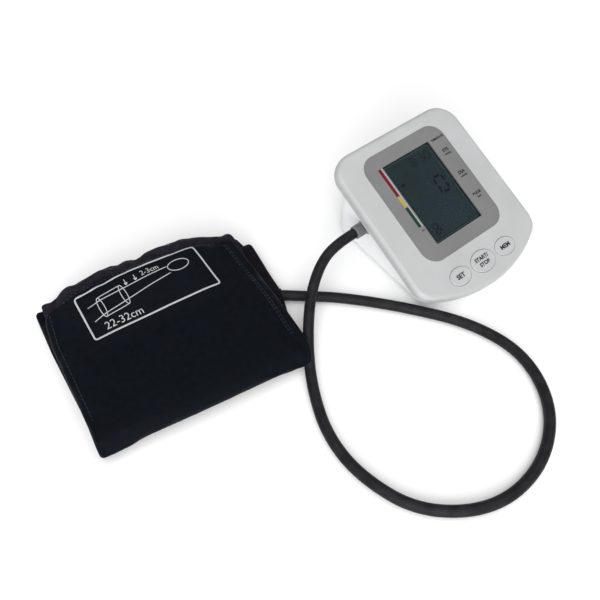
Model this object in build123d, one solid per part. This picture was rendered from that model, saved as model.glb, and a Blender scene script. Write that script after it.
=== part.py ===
"""Upper arm blood pressure monitor: a wedge-shaped desk monitor, its air hose and its folded arm cuff.

Row frame: +X to the monitor's right, +Y to its back, +Z up, in millimetres. The origin is on the table,
under the middle of the box round the monitor and the folded cuff.
"""

from build123d import *
from math import cos, pi, radians, sin, tan
import os

# ---------------------------------------------------------------- driving dimensions
MONITOR_X = 114.0          # middle of the monitor's base
MONITOR_Y = -28.0
FACE_TILT = 22.66          # slope of the monitor's face, degrees
FACE_LENGTH = 133.0        # along the slope, from the nose to the back edge
FACE_HALF_BACK = 57.0
FACE_HALF_FRONT = 58.0
NOSE_HEIGHT = 12.0         # height of the face's front edge
NOSE_RADIUS = 100.0        # curve of the front edge
BACK_CORNER = 18.0
FRONT_CORNER = 15.0
WALL = 2.4                 # thickness of the moulded shells
FACE_EDGE = 3.4            # rounding of the face's edge
TOP_RIM = 7.0              # depth of the top shell's skirt
SEAM = 0.5                 # groove between the shells
FLANGE = 3.0               # edge thickness of the bottom shell under the seam
FEET_HEIGHT = 1.6
BASE_HALF = 51.0
BASE_LENGTH = 113.0
BASE_NOSE_RADIUS = 95.0
BASE_CORNER = 13.0
SCREW_RADIUS = 1.3
SCREW_POSTS = [(-45.0, 46.0), (45.0, 46.0), (-44.5, -31.0), (44.5, -31.0)]
FOOT_RADIUS = 3.8
FOOT_SPOTS = [(-45.2, 36.0), (45.2, 36.0), (-36.0, -38.0), (36.0, -38.0)]

BEZEL_HALF = 37.4
BEZEL_LOW = 33.3           # distances up the slope from the nose
BEZEL_HIGH = 122.3
BEZEL_CORNER = 12.0
BEZEL_THICK = 1.1
SCREEN_WIDTH = 44.8
SCREEN_LOW = 44.3
SCREEN_HIGH = 111.5
WINDOW_MARGIN = 3.4
GLASS_DEPTH = 2.6          # top of the LCD below the face
GLASS_THICK = 2.2
BOARD_DEPTH = 9.6          # board's top side below the face
BOARD_THICK = 1.6
BOARD_HALF = 38.0
BOARD_LOW = 12.6
BOARD_HIGH = 118.0
BOARD_NECK = (31.0, 24.0)  # half width of the board's front tab, and where the tab begins
BOARD_SCREWS = [(-33.5, 36), (33.5, 36), (-33.5, 113), (33.5, 113)]
SENSOR = (6.0, 100.0)       # pressure sensor's place on the board

BUTTON_ROW = 16.8          # up the slope from the nose
BUTTON_SPACING = 22.3
SIDE_BUTTON = (9.0, 6.6)   # half axes of the oval caps
MAIN_BUTTON = (10.6, 8.0)
BUTTON_GAP = 0.25
BUTTON_PROUD = 0.6
BUTTON_DOME = 0.6          # rounding of the cap's edge
BUTTON_WALL = 1.3
BUTTON_TRAVEL = 0.6
SWITCH_HEIGHT = 4.0

CELL_RADIUS = 7.2          # AA cell
CELL_LENGTH = 49.5
CELL_PITCH = 2 * CELL_RADIUS + 0.35
BAY_X = 9.0                # battery bay, its middle
BAY_Y = 22.0
BAY_WIDTH = 59.6
BAY_LENGTH = 56.0
BAY_TOP = 20.4
BAY_WALL = 1.3
PLATE_THICK = 0.4
SPRING_WIRE = 0.58
SPRING_RADIUS = 4.2
COVER_THICK = 2.0
CELL_HEIGHT = FEET_HEIGHT + COVER_THICK + 0.4 + CELL_RADIUS
COVER_GAP = 0.3
COVER_LIP = 1.8            # overlap of the cover's side tongues with the shell

PORT_Y = 23.0
PORT_Z = 29.0
PORT_FLANGE = 6.0
PORT_BARREL = 4.4
NOZZLE_RADIUS = 2.6
NOZZLE_LENGTH = 11.0
PLUG_RADIUS = 4.9
PLUG_LENGTH = 9.0
AIRWAY = 1.2
TUBE_RADIUS = 2.4          # soft air tubes inside the monitor
TUBE_BORE = 1.3

PUMP_X = -33.0
PUMP_RADIUS = 11.0
PUMP_FRONT = 3.0
MOTOR_LENGTH = 21.0
HEAD_LENGTH = 15.0
PUMP_Z = FEET_HEIGHT + WALL + PUMP_RADIUS - 0.1
MANIFOLD = (-17.0, 48.5, BAY_TOP + 3.7)
MANIFOLD_REACH = 6.5       # from its middle to each nipple's end
VALVE = (24.0, 48.5, BAY_TOP + 6.5)
VALVE_REACH = 14.0

HOSE_RADIUS = 3.75
HOSE_BORE = 2.0
FLOOR = HOSE_RADIUS + 0.05  # height of the hose's middle where it lies on the table
HOSE_ROUTE = [
    (52, -5, 29), (34.5, -5, 29), (16, -10.8, 26.3), (-3, -24, 18), (-23.5, -48, 8.5), (-40, -74, FLOOR),
    (-53, -106, FLOOR), (-53.5, -139, FLOOR), (-40, -176, FLOOR), (-4, -201.5, FLOOR), (38, -201, FLOOR),
    (73, -179, FLOOR), (89, -141, FLOOR), (79, -102, FLOOR), (52, -64, FLOOR), (23, -31, FLOOR),
    (1, -12, FLOOR), (-11.6, -2.5, 5),
]

CUFF_X = -170.9            # near left corner of the folded cuff
CUFF_Y = -30.5
CUFF_TURN = -10.0
FOLD_V = 3.0               # centre line of the cuff's near fold, measured across the cuff
FOLD_Z = 9.0
FOLD_RADIUS = 6.0
FOLD_GAP = 0.3
PANEL_TOP = 8.8            # top of the folded lower leaves
LEAF_UNDERSIDE = 11.0
ROLL_V = 104.0             # far roll of the folded lower leaves
ROLL_Z = 14.0
ROLL_RADIUS = 14.0
RING_WIRE = 1.5
RING_Z = 11.4
RING_NEAR = 71.5           # the ring's two long bars
RING_FAR = 86.5
GLAND_RADIUS = 4.7
GLAND_LENGTH = 11.0

# ---------------------------------------------------------------- frames
SLOPE = radians(FACE_TILT)
NOSE_Y = -FACE_LENGTH * cos(SLOPE) / 2
FACE = Plane(origin=(0, NOSE_Y, NOSE_HEIGHT), x_dir=(1, 0, 0), z_dir=(0, -sin(SLOPE), cos(SLOPE)))
MONITOR = Pos(MONITOR_X, MONITOR_Y, 0)
CUFF = Pos(CUFF_X, CUFF_Y, 0) * Rot(0, 0, CUFF_TURN)
BASE_NOSE_Y = BASE_LENGTH / -2 + 1.5
PARTS = {}


def keep(name, part, place):
    """Files a finished piece under its node name, moved to its place in the row frame."""
    PARTS[name] = place * part


def group(pieces):
    """Separate solids that share one node."""
    return Compound([solid for piece in pieces for solid in piece.solids()])


def on_face(x, v, depth=0.0):
    """Place on the sloping face: x to the right, v up the slope, depth below the face."""
    return FACE.location * Pos(x, v, -depth)


def face_height(y):
    """Height of the face above the table, y behind the middle of the base."""
    return NOSE_HEIGHT + (y - NOSE_Y) * tan(SLOPE)


def under_face(depth):
    """Everything lower than a plane parallel to the face, depth below it."""
    return FACE.location * Pos(0, 0, -depth) * Box(400, 500, 200, align=(Align.CENTER, Align.CENTER, Align.MAX))


def outline(half_back, half_front, length, nose, back_corner, front_corner, inset=0.0):
    """Plan of the housing: straight sides, round back corners and a bowed nose at the origin."""
    side_y = nose - (nose**2 - half_front**2) ** 0.5
    bow = ThreePointArc((-half_front, side_y), (0, 0), (half_front, side_y))
    sides = Polyline((half_front, side_y), (half_back, length), (-half_back, length), (-half_front, side_y))
    plan = make_face([bow, *sides.edges()])
    plan = fillet(plan.vertices().sort_by(Axis.Y)[:2], front_corner)
    plan = fillet(plan.vertices().sort_by(Axis.Y)[-2:], back_corner)
    return offset(plan, -inset) if inset else plan


def face_outline(inset=0.0):
    return outline(FACE_HALF_BACK, FACE_HALF_FRONT, FACE_LENGTH, NOSE_RADIUS, BACK_CORNER, FRONT_CORNER, inset)


def base_outline(inset=0.0):
    plan = outline(BASE_HALF, BASE_HALF, BASE_LENGTH, BASE_NOSE_RADIUS, BASE_CORNER, BASE_CORNER, inset)
    return Pos(0, BASE_NOSE_Y) * plan


def slab(place, plan, thick):
    """A plan on the sloping face, extruded downwards from the place."""
    return place * extrude(plan, -thick)


def upright(radius, low, high, x, y):
    """A vertical cylinder between two heights."""
    return Pos(x, y, low) * Cylinder(radius, high - low, align=(Align.CENTER, Align.CENTER, Align.MIN))


def block(low, high):
    """A box from its lowest to its highest corner."""
    size = [h - l for l, h in zip(low, high)]
    return Pos(*low) * Box(*size, align=Align.MIN)


def rod(radius, start, end):
    """A round bar between two points."""
    path = Line(start, end)
    return sweep(Plane(origin=path @ 0, z_dir=path % 0) * Circle(radius), path)


def pipe(points, radius, bore, radii):
    """A tube along straight runs joined by tangent arcs."""
    path = FilletPolyline(*points, radius=radii)
    ring = Plane(origin=path @ 0, z_dir=path % 0) * (Circle(radius) - Circle(bore))
    return sweep(ring, path), path.length


def bend_radii(points):
    """For each corner, 0.45 of its shorter run over the tangent of half its turn."""
    radii = []
    for before, corner, after in zip(points, points[1:], points[2:]):
        run_in = Vector(*corner) - Vector(*before)
        run_out = Vector(*after) - Vector(*corner)
        half_turn = radians(run_in.get_angle(run_out)) / 2
        radii.append(0.45 * min(run_in.length, run_out.length) / tan(half_turn))
    return radii


# ---------------------------------------------------------------- housing
def button_plan(index, grow=0.0):
    """Oval plan of one of the three buttons, at its place along the row."""
    half_x, half_y = MAIN_BUTTON if index == 1 else SIDE_BUTTON
    return Pos((index - 1) * BUTTON_SPACING, BUTTON_ROW) * Ellipse(half_x + grow, half_y + grow)


def bezel_plan(grow=0.0):
    height = BEZEL_HIGH - BEZEL_LOW
    plate = RectangleRounded(2 * (BEZEL_HALF + grow), height + 2 * grow, BEZEL_CORNER + grow)
    return Pos(0, (BEZEL_HIGH + BEZEL_LOW) / 2) * plate


def screen_plan(margin=0.0, corner=1.0):
    height = SCREEN_HIGH - SCREEN_LOW + 2 * margin
    return Pos(0, (SCREEN_HIGH + SCREEN_LOW) / 2) * RectangleRounded(SCREEN_WIDTH + 2 * margin, height, corner)


def post_split(y):
    """Height where the lower screw post meets the upper one."""
    return 24.0 if y > 0 else 8.0


def make_top_shell():
    shell = slab(FACE.location, face_outline(), TOP_RIM)
    rim = shell.faces().sort_by(Axis(FACE.origin, FACE.z_dir))[-1]
    shell = fillet(rim.edges(), FACE_EDGE)
    shell -= slab(on_face(0, 0, WALL), face_outline(WALL), TOP_RIM)
    shell -= slab(on_face(0, 0, -1), bezel_plan(0.15), 1.1 + BEZEL_THICK)
    shell -= slab(on_face(0, 0), screen_plan(WINDOW_MARGIN), 2 * WALL)
    for index in range(3):
        shell -= slab(on_face(0, 0, -1), button_plan(index, BUTTON_GAP), 3 * WALL)
    for x, y in SCREW_POSTS:
        post = upright(3.0, post_split(y), face_height(y) + 5, x, y) & under_face(WALL - 0.4)
        shell += post
        shell -= upright(SCREW_RADIUS, post_split(y) - 1, post_split(y) + 7, x, y)
    return shell


def make_bottom_shell():
    tray = extrude(Pos(0, 0, FEET_HEIGHT) * base_outline(), 90) & under_face(TOP_RIM + SEAM + FLANGE / 2)
    floor = tray.faces().sort_by(Axis.Z)[0]
    tray = fillet(floor.edges(), 1.5)
    rim = slab(on_face(0, 0, TOP_RIM + SEAM), face_outline(0.6), FLANGE)
    rim = chamfer(rim.faces().sort_by(Axis(FACE.origin, FACE.z_dir))[0].edges(), 1.8)
    tongue = slab(on_face(0, 0, TOP_RIM - 1.6), face_outline(WALL + 0.15), 3)
    tongue -= slab(on_face(0, 0, TOP_RIM - 2), face_outline(WALL + 1.45), 5)
    shell = tray + rim + tongue
    shell -= extrude(Pos(0, 0, FEET_HEIGHT + WALL) * base_outline(WALL), 90)
    for x, y in SCREW_POSTS:
        shell += upright(3.2, FEET_HEIGHT + 1, post_split(y) - 0.2, x, y)
        shell -= upright(SCREW_RADIUS + 0.2, FEET_HEIGHT - 1, post_split(y) + 1, x, y)
        shell -= upright(2.5, FEET_HEIGHT - 1, post_split(y) - 3.5, x, y)
    for x, y in FOOT_SPOTS:
        shell -= upright(FOOT_RADIUS + 0.1, FEET_HEIGHT - 1, FEET_HEIGHT + 0.8, x, y)
    bay = block(
        (BAY_X - BAY_WIDTH / 2 - BAY_WALL, BAY_Y - BAY_LENGTH / 2 - BAY_WALL, FEET_HEIGHT + 1),
        (BAY_X + BAY_WIDTH / 2 + BAY_WALL, BAY_Y + BAY_LENGTH / 2 + BAY_WALL, BAY_TOP),
    )
    shell += bay
    shell -= block(
        (BAY_X - BAY_WIDTH / 2, BAY_Y - BAY_LENGTH / 2, FEET_HEIGHT + COVER_THICK),
        (BAY_X + BAY_WIDTH / 2, BAY_Y + BAY_LENGTH / 2, BAY_TOP - BAY_WALL),
    )
    shell -= cover_shape(COVER_GAP / 2, BASE_LENGTH)
    port = Pos(-BASE_HALF, PORT_Y, PORT_Z) * Rot(0, 90, 0)
    shell -= port * Cylinder(PORT_BARREL + 0.1, 12)
    return shell


def cover_shape(grow, back):
    """The sliding cover's stepped plate: a narrow outer face under wider side tongues."""
    half = BAY_WIDTH / 2 - 0.6 + grow
    front = BAY_Y - BAY_LENGTH / 2 - grow
    low = FEET_HEIGHT - (1 if grow else 0)
    step = FEET_HEIGHT + 0.9 - grow
    plate = block((BAY_X - half, front, low), (BAY_X + half, back, FEET_HEIGHT + COVER_THICK + grow))
    wide = half + COVER_LIP
    return plate + block((BAY_X - wide, front, step), (BAY_X + wide, back, FEET_HEIGHT + COVER_THICK + grow))


def make_battery_cover():
    """A plate that slides out backwards on its side tongues, with a ribbed thumb grip."""
    back = BASE_NOSE_Y + BASE_LENGTH - 0.2
    cover = cover_shape(0, back)
    for row in range(5):
        groove_y = back - 9 - 2.4 * row
        cover -= block((BAY_X - 10, groove_y, FEET_HEIGHT - 1), (BAY_X + 10, groove_y + 1, FEET_HEIGHT + 0.7))
    return cover


def make_bezel():
    """Grey trim plate round the screen, set into the face."""
    plate = slab(on_face(0, 0, 0.1), bezel_plan(), BEZEL_THICK)
    return plate - slab(on_face(0, 0, -1), screen_plan(), 4)


def make_window():
    """Clear pane behind the trim plate, in the shell's opening."""
    return slab(on_face(0, 0, BEZEL_THICK + 0.15), screen_plan(WINDOW_MARGIN - 0.15), 1.0)


def make_lcd():
    return slab(on_face(0, 0, GLASS_DEPTH), screen_plan(2.6), GLASS_THICK)


def make_lcd_holder():
    """Moulded frame that carries the LCD on the board."""
    plan = screen_plan(6.0, 3)
    frame = slab(on_face(0, 0, GLASS_DEPTH), plan, BOARD_DEPTH - GLASS_DEPTH)
    frame -= slab(on_face(0, 0, 0), screen_plan(2.75), GLASS_DEPTH + GLASS_THICK + 0.05)
    return frame - slab(on_face(0, 0, 0), screen_plan(-1.0), 20)


def make_zebra_strips():
    """Two rubber contact strips from the LCD's ledges to the board."""
    deep = GLASS_DEPTH + GLASS_THICK
    strip = Box(SCREEN_WIDTH - 8, 2.2, BOARD_DEPTH - deep, align=(Align.CENTER, Align.CENTER, Align.MAX))
    places = [on_face(0, v, deep) for v in (SCREEN_LOW + 2.6, SCREEN_HIGH - 2.6)]
    return [place * strip for place in places]


def make_board():
    """Circuit board under the face, with a narrower tab in front that carries the button switches."""
    middle = (BOARD_NECK[1] + BOARD_HIGH) / 2
    plan = Pos(0, middle) * RectangleRounded(2 * BOARD_HALF, BOARD_HIGH - BOARD_NECK[1], 3)
    plan += Pos(0, BOARD_LOW + 10) * Rectangle(2 * BOARD_NECK[0], 20)
    for x, v in BOARD_SCREWS:
        plan -= Pos(x, v) * Circle(1.5)
    return slab(on_face(0, 0, BOARD_DEPTH), plan, BOARD_THICK)


def board_part(x, v, shape, side=-1):
    """A component on the board: side 1 on its top, -1 on its underside."""
    depth = BOARD_DEPTH if side > 0 else BOARD_DEPTH + BOARD_THICK
    turn = Rot(0, 0, 0) if side > 0 else Rot(180, 0, 0)
    return on_face(x, v, depth) * turn * shape


def standing(shape_height, *size):
    """Box or cylinder that stands on its underside."""
    align = (Align.CENTER, Align.CENTER, Align.MIN)
    if len(size) == 1:
        return Cylinder(size[0], shape_height, align=align)
    return Box(*size, shape_height, align=align)


def make_chip(length, width, legs):
    """Flat chip with rows of legs along its two long sides."""
    chip = Pos(0, 0, 0.3) * standing(1.7, length, width)
    for side in (-1, 1):
        for leg in range(legs):
            x = (leg - (legs - 1) / 2) * (length - 1.2) / (legs - 1)
            chip += Pos(x, side * (width / 2 + 0.4), 0) * standing(0.9, 0.5, 1.6)
    return chip


def make_button(index):
    """Domed cap with a hidden flange and a stem that rests over its switch."""
    x = (index - 1) * BUTTON_SPACING
    cap = slab(on_face(0, 0, -BUTTON_PROUD), button_plan(index), BUTTON_PROUD + WALL + 0.8)
    top = cap.faces().sort_by(Axis(FACE.origin, FACE.z_dir))[-1]
    cap = fillet(top.edges(), BUTTON_DOME)
    cap -= slab(on_face(0, 0, 0.6), button_plan(index, -BUTTON_WALL), WALL + 2)
    cap += slab(on_face(0, 0, WALL + BUTTON_TRAVEL * 0.5), button_plan(index, 0.9), 0.8) - slab(
        on_face(0, 0, 0), button_plan(index, -BUTTON_WALL), WALL + 3
    )
    stem_depth = BOARD_DEPTH - SWITCH_HEIGHT - BUTTON_TRAVEL - 0.1
    cap += on_face(x, BUTTON_ROW, stem_depth) * standing(stem_depth - 0.4, 1.8)
    return cap


def make_tact_switches():
    """Three snap switches on the board, one under each button."""
    switch = standing(SWITCH_HEIGHT - 0.8, 6, 6) + Pos(0, 0, SWITCH_HEIGHT - 0.9) * standing(0.9, 1.7)
    return [board_part((i - 1) * BUTTON_SPACING, BUTTON_ROW, switch, side=1) for i in range(3)]


def make_board_posts_and_screws():
    """Four spacer posts from the top shell to the board, and the screws through the board into them."""
    posts, screws = [], []
    for x, v in BOARD_SCREWS:
        post = standing(BOARD_DEPTH - WALL, 2.8) - standing(7, 0.9)
        posts.append(on_face(x, v, BOARD_DEPTH) * post)
        screw = Pos(0, 0, -BOARD_THICK) * (standing(BOARD_THICK + 5, 0.9) + Pos(0, 0, -1.3) * standing(1.3, 2.2))
        screws.append(on_face(x, v, BOARD_DEPTH) * screw)
    return posts, screws


# ---------------------------------------------------------------- power
def make_cells():
    """Four AA cells side by side, turned alternately."""
    cells = []
    for number in range(4):
        x = BAY_X + (number - 1.5) * CELL_PITCH
        turn = Rot(-90, 0, 0) if number % 2 else Rot(90, 0, 0)
        cell = standing(CELL_LENGTH - 1.2, CELL_RADIUS) + standing(CELL_LENGTH, 2.6)
        cell = Pos(0, 0, -CELL_LENGTH / 2) * cell
        cells.append(Pos(x, BAY_Y, CELL_HEIGHT) * turn * cell)
    return cells


def cell_end(number, spring):
    """Middle of a cell's spring end or its button end, on the bay's wall."""
    x = BAY_X + (number - 1.5) * CELL_PITCH
    side = (1 if number % 2 else -1) * (-1 if spring else 1)
    return x, BAY_Y + side * BAY_LENGTH / 2, side


def make_cell_springs():
    """Cone springs, drawn as rings that touch, at each cell's flat end."""
    springs = []
    room = (BAY_LENGTH - CELL_LENGTH) / 2 - PLATE_THICK
    step = (room - 2 * SPRING_WIRE) / 3
    for number in range(4):
        x, y, side = cell_end(number, True)
        coil = None
        for turn in range(4):
            ring = Pos(0, 0, SPRING_WIRE + turn * step) * Torus(SPRING_RADIUS - 0.55 * turn, SPRING_WIRE)
            coil = ring if coil is None else coil + ring
        springs.append(Pos(x, y - side * PLATE_THICK, CELL_HEIGHT) * Rot(90 * side, 0, 0) * coil)
    return springs


def make_cell_plates():
    """Contact plates on the bay's two end walls."""
    plates = []
    for number in range(4):
        for spring in (True, False):
            x, y, side = cell_end(number, spring)
            plate = Box(9, PLATE_THICK - 0.05, 9)
            if not spring:
                plate += Pos(0, -side * 1.4, 0) * Box(4, 2.6, 4)
            plates.append(Pos(x, y - side * PLATE_THICK / 2, CELL_HEIGHT) * plate)
    return plates


# ---------------------------------------------------------------- air circuit
def make_motor():
    along = Pos(PUMP_X, PUMP_FRONT, PUMP_Z) * Rot(-90, 0, 0)
    can = standing(MOTOR_LENGTH, PUMP_RADIUS - 0.5)
    return along * (can + Pos(0, 0, -1) * standing(1.2, 3))


def make_pump_head():
    along = Pos(PUMP_X, PUMP_FRONT + MOTOR_LENGTH, PUMP_Z) * Rot(-90, 0, 0)
    head = standing(HEAD_LENGTH, PUMP_RADIUS - 0.5)
    for ring in range(3):
        groove = standing(0.8, PUMP_RADIUS) - standing(0.8, PUMP_RADIUS - 1.3)
        head -= Pos(0, 0, 3 + 4 * ring) * groove
    return along * (head + Pos(0, 0, HEAD_LENGTH - 0.5) * standing(4, TUBE_RADIUS))


def make_pump_cradle():
    """Foam saddle that holds the motor off the floor."""
    saddle = block(
        (PUMP_X - 9, PUMP_FRONT + 2, FEET_HEIGHT + WALL), (PUMP_X + 9, PUMP_FRONT + MOTOR_LENGTH - 2, PUMP_Z - 3)
    )
    return saddle - Pos(PUMP_X, PUMP_FRONT, PUMP_Z) * Rot(-90, 0, 0) * standing(60, PUMP_RADIUS - 0.5)


def make_air_socket():
    """Port in the left wall: outer flange, barrel through the wall, and the nipple inside."""
    x_axis = Pos(-BASE_HALF, PORT_Y, PORT_Z) * Rot(0, 90, 0)
    socket = Pos(0, 0, -1.2) * standing(1.2, PORT_FLANGE)
    socket += standing(NOZZLE_LENGTH + 1.5, PORT_BARREL)
    socket += Pos(0, 0, NOZZLE_LENGTH) * standing(5, TUBE_RADIUS)
    socket -= Pos(0, 0, -2) * standing(NOZZLE_LENGTH + 2.3, NOZZLE_RADIUS + 0.4)
    socket -= standing(NOZZLE_LENGTH + 8, AIRWAY)
    return x_axis * socket


def make_manifold():
    """Four-way joint of the air tubes, on the bay's roof."""
    x, y, z = MANIFOLD
    joint = Pos(x, y, z) * Box(7, 7, 7)
    joint += rod(TUBE_RADIUS, (x - 3.4, y, z), (x - MANIFOLD_REACH, y, z))
    joint += rod(TUBE_RADIUS, (x + 3.4, y, z), (x + MANIFOLD_REACH, y, z))
    joint += rod(TUBE_RADIUS, (x, y - 3.4, z), (x, y - MANIFOLD_REACH, z))
    joint += rod(TUBE_RADIUS, (x, y, z + 3.4), (x, y, z + MANIFOLD_REACH))
    return joint


def make_valve_coil():
    """Wound core of the solenoid release valve, with its air nipple."""
    x, y, z = VALVE
    nose = rod(TUBE_RADIUS, (x - 8, y, z), (x - VALVE_REACH, y, z))
    return Pos(x, y, z) * Rot(0, 90, 0) * Cylinder(5.2, 16) + nose


def make_valve_yoke():
    """Bent steel frame round the valve's coil."""
    x, y, z = VALVE
    frame = Box(20, 12, 12.4) - Box(16, 13, 10.6)
    return Pos(x, y, z) * (frame - Pos(-10, 0, 0) * Rot(0, 90, 0) * Cylinder(TUBE_RADIUS, 8))


def make_sensor():
    """Pressure sensor on the underside of the board, with its nipple."""
    body = standing(5.2, 10, 10)
    return body + rod(TUBE_RADIUS, (-4.9, 0, 2.6), (-9, 0, 2.6))


def air_tube_routes():
    """Runs of the soft tubes: pump, port, valve and sensor, each to the manifold."""
    x, y, z = MANIFOLD
    pump_end = PUMP_FRONT + MOTOR_LENGTH + HEAD_LENGTH + 3.5
    port_end = -BASE_HALF + NOZZLE_LENGTH + 5
    valve_end = VALVE[0] - VALVE_REACH
    _, sensor_y, sensor_z = FACE.from_local_coords(Vector(0, SENSOR[1], -BOARD_DEPTH - BOARD_THICK - 2.6))
    return {
        "air_tube_pump": [
            (PUMP_X, pump_end, PUMP_Z), (PUMP_X, y, PUMP_Z), (PUMP_X, y, z), (x - MANIFOLD_REACH, y, z),
        ],
        "air_tube_port": [
            (port_end, PORT_Y, PORT_Z), (x, PORT_Y, PORT_Z), (x, PORT_Y + 11, z), (x, y - MANIFOLD_REACH, z),
        ],
        "air_tube_valve": [
            (x + MANIFOLD_REACH, y, z), (x + 12, y, z), (valve_end - 6, y, VALVE[2]), (valve_end, y, VALVE[2]),
        ],
        "air_tube_sensor": [
            (SENSOR[0] - 9, sensor_y, sensor_z), (x, sensor_y, sensor_z), (x, y, sensor_z - 2), (x, y, z + MANIFOLD_REACH),
        ],
    }


# ---------------------------------------------------------------- hose and plug
def make_plug():
    """Ribbed collar, nozzle with its bore, and the sealing ring on the nozzle."""
    tip = HOSE_ROUTE[0]
    x_axis = Pos(*tip) * Rot(0, 90, 0)
    collar = standing(PLUG_LENGTH, PLUG_RADIUS)
    collar = fillet(collar.edges().filter_by(GeomType.CIRCLE), 0.6)
    for rib in range(12):
        groove = Rot(0, 0, 30 * rib) * Pos(PLUG_RADIUS + 0.25, 0, 2) * standing(PLUG_LENGTH - 4, 0.7)
        collar -= groove
    collar -= Pos(0, 0, -1) * standing(PLUG_LENGTH + 2, NOZZLE_RADIUS)
    nozzle = standing(PLUG_LENGTH + NOZZLE_LENGTH, NOZZLE_RADIUS)
    seat = PLUG_LENGTH + NOZZLE_LENGTH - 4
    nozzle -= Pos(0, 0, seat) * (standing(1.4, NOZZLE_RADIUS + 1) - standing(1.4, NOZZLE_RADIUS - 0.6))
    nozzle -= Pos(0, 0, -1) * standing(60, AIRWAY)
    seal = Pos(0, 0, seat + 0.7) * Torus(NOZZLE_RADIUS - 0.1, 0.45)
    return x_axis * collar, x_axis * nozzle, x_axis * seal


def make_hose():
    """Rubber hose along its route; prints the bend radii and the volume against section times length."""
    radii = bend_radii(HOSE_ROUTE)
    hose, length = pipe(HOSE_ROUTE, HOSE_RADIUS, HOSE_BORE, radii)
    section = pi * (HOSE_RADIUS**2 - HOSE_BORE**2)
    print("hose bend radii", [round(r, 1) for r in radii], "diameter", 2 * HOSE_RADIUS)
    print("hose length", round(length, 1), "volume / (section * length)", round(hose.volume / (section * length), 4))
    return hose


def make_gland():
    """Moulded hose fitting sewn into the cuff's edge, in line with the hose's last run."""
    before, end = Vector(*HOSE_ROUTE[-2]), Vector(*HOSE_ROUTE[-1])
    along = (end - before).normalized()
    place = Plane(origin=end, z_dir=along).location
    gland = place * standing(GLAND_LENGTH, GLAND_RADIUS)
    gland = fillet(gland.edges().filter_by(GeomType.CIRCLE), 0.8)
    return gland - place * Pos(0, 0, -1) * standing(GLAND_LENGTH + 2, AIRWAY)


# ---------------------------------------------------------------- cuff
def across(points, u_low, u_high):
    """A profile in the plane of the cuff's depth and height, extruded along its width."""
    plane = Plane(origin=(u_low, 0, 0), x_dir=(0, 1, 0), z_dir=(1, 0, 0))
    return extrude(plane * make_face(Polyline(*points, close=True)), u_high - u_low)


def leaf_plan(grow_left=0.0, grow_right=0.0, far=119.0, near=0.0):
    """Plan of a cuff leaf: a skewed sheet whose right edge is cut back at the near corner."""
    points = [
        (2 - grow_left * 0.3, near), (137, near), (142, 18), (143.5 + grow_right, 46),
        (138 + grow_right * 1.4, far), (2 - grow_left, far),
    ]
    plan = make_face(Polyline(*points, close=True))
    return fillet(plan.vertices(), 3.5)


def layer(plan, low, high):
    return Pos(0, 0, low) * extrude(plan, high - low)


def along_fold(radius, v, z, u_low, u_high):
    """A round bar along the cuff's width."""
    return Pos((u_low + u_high) / 2, v, z) * Rot(0, 90, 0) * Cylinder(radius, u_high - u_low)


def make_lower_leaves(gland):
    """The two lower leaves with the air bladder between them, and the far roll that joins them."""
    near_cut = FOLD_V + FOLD_GAP
    fold_room = along_fold(FOLD_RADIUS + 0.1, FOLD_V, FOLD_Z, -20, 170)
    base = layer(leaf_plan(6.5, 7, 119, near_cut), 0, 2.8) - gland
    bladder_plan = Pos(72, 50) * RectangleRounded(114, 72, 9)
    bladder = layer(bladder_plan, 3.0, 5.7) - gland
    middle = layer(leaf_plan(3, 7, 89, near_cut), 5.9, PANEL_TOP) - fold_room - gland
    roll = along_fold(ROLL_RADIUS, ROLL_V, ROLL_Z, 5, 139)
    roll -= block((-20, 0, -5), (170, 150, 3.0))
    middle -= along_fold(ROLL_RADIUS + 0.1, ROLL_V, ROLL_Z, -20, 170)
    bladder -= along_fold(ROLL_RADIUS + 0.1, ROLL_V, ROLL_Z, -20, 170)
    return base, bladder, middle, roll


def leaf_profile(low, high):
    """Band of the top leaf between two shares of its thickness: 0 is its underside, 1 its top."""
    under = [(FOLD_V, LEAF_UNDERSIDE), (62, LEAF_UNDERSIDE + 0.4), (84, 22.5), (96, 27.2), (107, 28.7)]
    over = [(FOLD_V, 17.4), (62, 19.4), (84, 27.4), (96, 31.0), (107, 31.6)]

    def between(share):
        return [(a[0], a[1] + share * (b[1] - a[1])) for a, b in zip(under, over)]

    return between(low) + between(high)[::-1]


def make_top_leaf():
    """The top leaf that folds back about the near fold: outer cover, foam core, lining and hook patch."""
    fold_room = along_fold(FOLD_RADIUS + FOLD_GAP, FOLD_V, FOLD_Z, -20, 170)
    plan = layer(leaf_plan(2, 0, 107, FOLD_V), 0, 60)
    cover = (across(leaf_profile(0.62, 1.0), -5, 150) & plan) - fold_room
    core = (across(leaf_profile(0.24, 0.6), 8, 134) & plan) - fold_room
    lining = (across(leaf_profile(0.0, 0.22), -5, 150) & plan) - fold_room
    hook = layer(Pos(74, 40) * RectangleRounded(96, 34, 4), LEAF_UNDERSIDE - 0.9, LEAF_UNDERSIDE)
    return cover, core, lining, hook


def make_ring():
    """Wire ring across the cuff's width, between the leaves."""
    height = RING_FAR - RING_NEAR
    path = Pos(70, (RING_FAR + RING_NEAR) / 2, RING_Z) * RectangleRounded(141, height, 4).wire()
    start = Plane(origin=path @ 0, z_dir=path % 0)
    return sweep(start * Circle(RING_WIRE), path)


def make_ring_loop():
    """Fabric loop that holds the ring's far bar to the lower leaf."""
    sleeve = along_fold(RING_WIRE + 0.9, RING_FAR, RING_Z, 18, 126)
    sleeve += block((18, RING_FAR - 8, PANEL_TOP + 0.1), (126, RING_FAR, PANEL_TOP + 1.0))
    return sleeve - along_fold(RING_WIRE + 0.1, RING_FAR, RING_Z, 10, 135)


def make_loop_patch():
    return layer(Pos(74, 40) * RectangleRounded(104, 44, 4), PANEL_TOP + 0.1, LEAF_UNDERSIDE - 1.1)


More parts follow.
